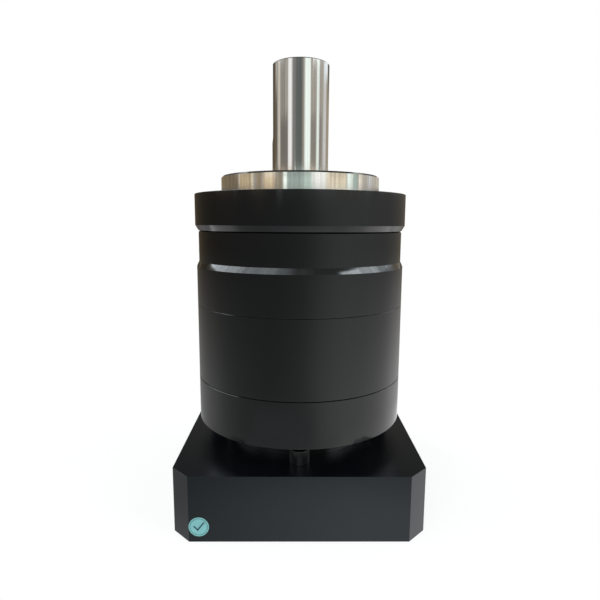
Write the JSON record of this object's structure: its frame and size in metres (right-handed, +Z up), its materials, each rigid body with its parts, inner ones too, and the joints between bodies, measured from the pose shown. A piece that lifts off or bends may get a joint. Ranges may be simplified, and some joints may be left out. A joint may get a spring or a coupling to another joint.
{
  "type": "planetary gearbox",
  "caption": "Round two-stage inline planetary gearbox with a keyed output shaft, a pilot flange and a square motor adapter.",
  "frame": {"origin": "centre of the motor face, under the gearbox axis", "axes": "+Z up the gearbox axis to the output shaft's end, -Y to the front, the keyway near -X"},
  "size_m": [0.13, 0.13, 0.2455],
  "materials": {
    "body_black": "satin black oxide",
    "adapter_black": "black anodised, milled",
    "screw_black": "black oxide",
    "pilot_steel": "bright turned",
    "shaft_steel": "ground",
    "gear_steel": "case hardened, ground flanks",
    "bearing_steel": "ground and polished",
    "bronze": "sintered",
    "brass": "machined",
    "seal_rubber": "moulded"
  },
  "bodies": {
    "housing": {"motor_adapter": "adapter_black", "adapter_screws": "screw_black", "access_plug": "screw_black", "input_flange": "body_black", "input_flange_screws": "screw_black", "rear_cover": "body_black", "body_bolts": "screw_black", "ring_gear": "body_black", "output_housing": "body_black", "front_flange": "body_black", "flange_screws": "screw_black", "pilot_ring": "pilot_steel", "input_bearing_outer": "bearing_steel", "rear_bearing_outer": "bearing_steel", "front_bearing_outer": "bearing_steel", "input_seal": "seal_rubber", "output_seal": "seal_rubber", "input_bearing_shields": "bearing_steel", "seam_seals": "seal_rubber", "dowels": "shaft_steel"},
    "rear_rollers": {"rear_bearing_rollers": "bearing_steel", "rear_bearing_cage": "brass"},
    "front_rollers": {"front_bearing_rollers": "bearing_steel", "front_bearing_cage": "brass"},
    "output_shaft": {"output_shaft": "shaft_steel", "carrier_plate": "shaft_steel", "second_pins": "shaft_steel", "rear_bearing_inner": "bearing_steel", "front_bearing_inner": "bearing_steel", "bearing_spacer": "shaft_steel", "lock_ring": "screw_black"},
    "mid_carrier": {"mid_carrier": "shaft_steel", "first_pins": "shaft_steel", "second_sun": "gear_steel"},
    "input_shaft": {"input_shaft": "shaft_steel", "clamp_collar": "shaft_steel", "clamp_screw": "screw_black", "input_circlip": "screw_black", "input_bearing_inner": "bearing_steel", "first_sun": "gear_steel"},
    "second_planet_1": {"second_planet_1": "gear_steel", "second_bush_1": "bronze"},
    "second_planet_2": {"second_planet_2": "gear_steel", "second_bush_2": "bronze"},
    "second_planet_3": {"second_planet_3": "gear_steel", "second_bush_3": "bronze"},
    "first_planet_1": {"first_planet_1": "gear_steel", "first_bush_1": "bronze"},
    "first_planet_2": {"first_planet_2": "gear_steel", "first_bush_2": "bronze"},
    "first_planet_3": {"first_planet_3": "gear_steel", "first_bush_3": "bronze"}
  },
  "joints": [
    {"name": "output_spin", "type": "hinge", "parent": "housing", "child": "output_shaft", "pos_m": [0, 0, 0.21], "axis": [0, 0, 1], "continuous": true},
    {"name": "mid_spin", "type": "hinge", "parent": "housing", "child": "mid_carrier", "pos_m": [0, 0, 0.087], "axis": [0, 0, 1], "continuous": true},
    {"name": "input_spin", "type": "hinge", "parent": "housing", "child": "input_shaft", "pos_m": [0, 0, 0.024], "axis": [0, 0, 1], "continuous": true},
    {"name": "second_planet_1_spin", "type": "hinge", "parent": "output_shaft", "child": "second_planet_1", "pos_m": [0.0225, 0, 0.102], "axis": [0, 0, 1], "continuous": true},
    {"name": "second_planet_2_spin", "type": "hinge", "parent": "output_shaft", "child": "second_planet_2", "pos_m": [-0.01125, 0.01949, 0.102], "axis": [0, 0, 1], "continuous": true},
    {"name": "second_planet_3_spin", "type": "hinge", "parent": "output_shaft", "child": "second_planet_3", "pos_m": [-0.01125, -0.01949, 0.102], "axis": [0, 0, 1], "continuous": true},
    {"name": "first_planet_1_spin", "type": "hinge", "parent": "mid_carrier", "child": "first_planet_1", "pos_m": [0.0225, 0, 0.079], "axis": [0, 0, 1], "continuous": true},
    {"name": "first_planet_2_spin", "type": "hinge", "parent": "mid_carrier", "child": "first_planet_2", "pos_m": [-0.01125, 0.01949, 0.079], "axis": [0, 0, 1], "continuous": true},
    {"name": "first_planet_3_spin", "type": "hinge", "parent": "mid_carrier", "child": "first_planet_3", "pos_m": [-0.01125, -0.01949, 0.079], "axis": [0, 0, 1], "continuous": true},
    {"name": "rear_rollers_spin", "type": "hinge", "parent": "housing", "child": "rear_rollers", "pos_m": [0, 0, 0.1315], "axis": [0, 0, 1], "continuous": true},
    {"name": "front_rollers_spin", "type": "hinge", "parent": "housing", "child": "front_rollers", "pos_m": [0, 0, 0.1605], "axis": [0, 0, 1], "continuous": true}
  ],
  "couplings": [
    {"joint": "mid_spin", "follows": "output_spin", "ratio": 10},
    {"joint": "input_spin", "follows": "output_spin", "ratio": 100},
    {"joint": "second_planet_1_spin", "follows": "output_spin", "ratio": -2.25},
    {"joint": "second_planet_2_spin", "follows": "output_spin", "ratio": -2.25},
    {"joint": "second_planet_3_spin", "follows": "output_spin", "ratio": -2.25},
    {"joint": "first_planet_1_spin", "follows": "output_spin", "ratio": -22.5},
    {"joint": "first_planet_2_spin", "follows": "output_spin", "ratio": -22.5},
    {"joint": "first_planet_3_spin", "follows": "output_spin", "ratio": -22.5},
    {"joint": "rear_rollers_spin", "follows": "output_spin", "ratio": 0.4655},
    {"joint": "front_rollers_spin", "follows": "output_spin", "ratio": 0.4538}
  ]
}
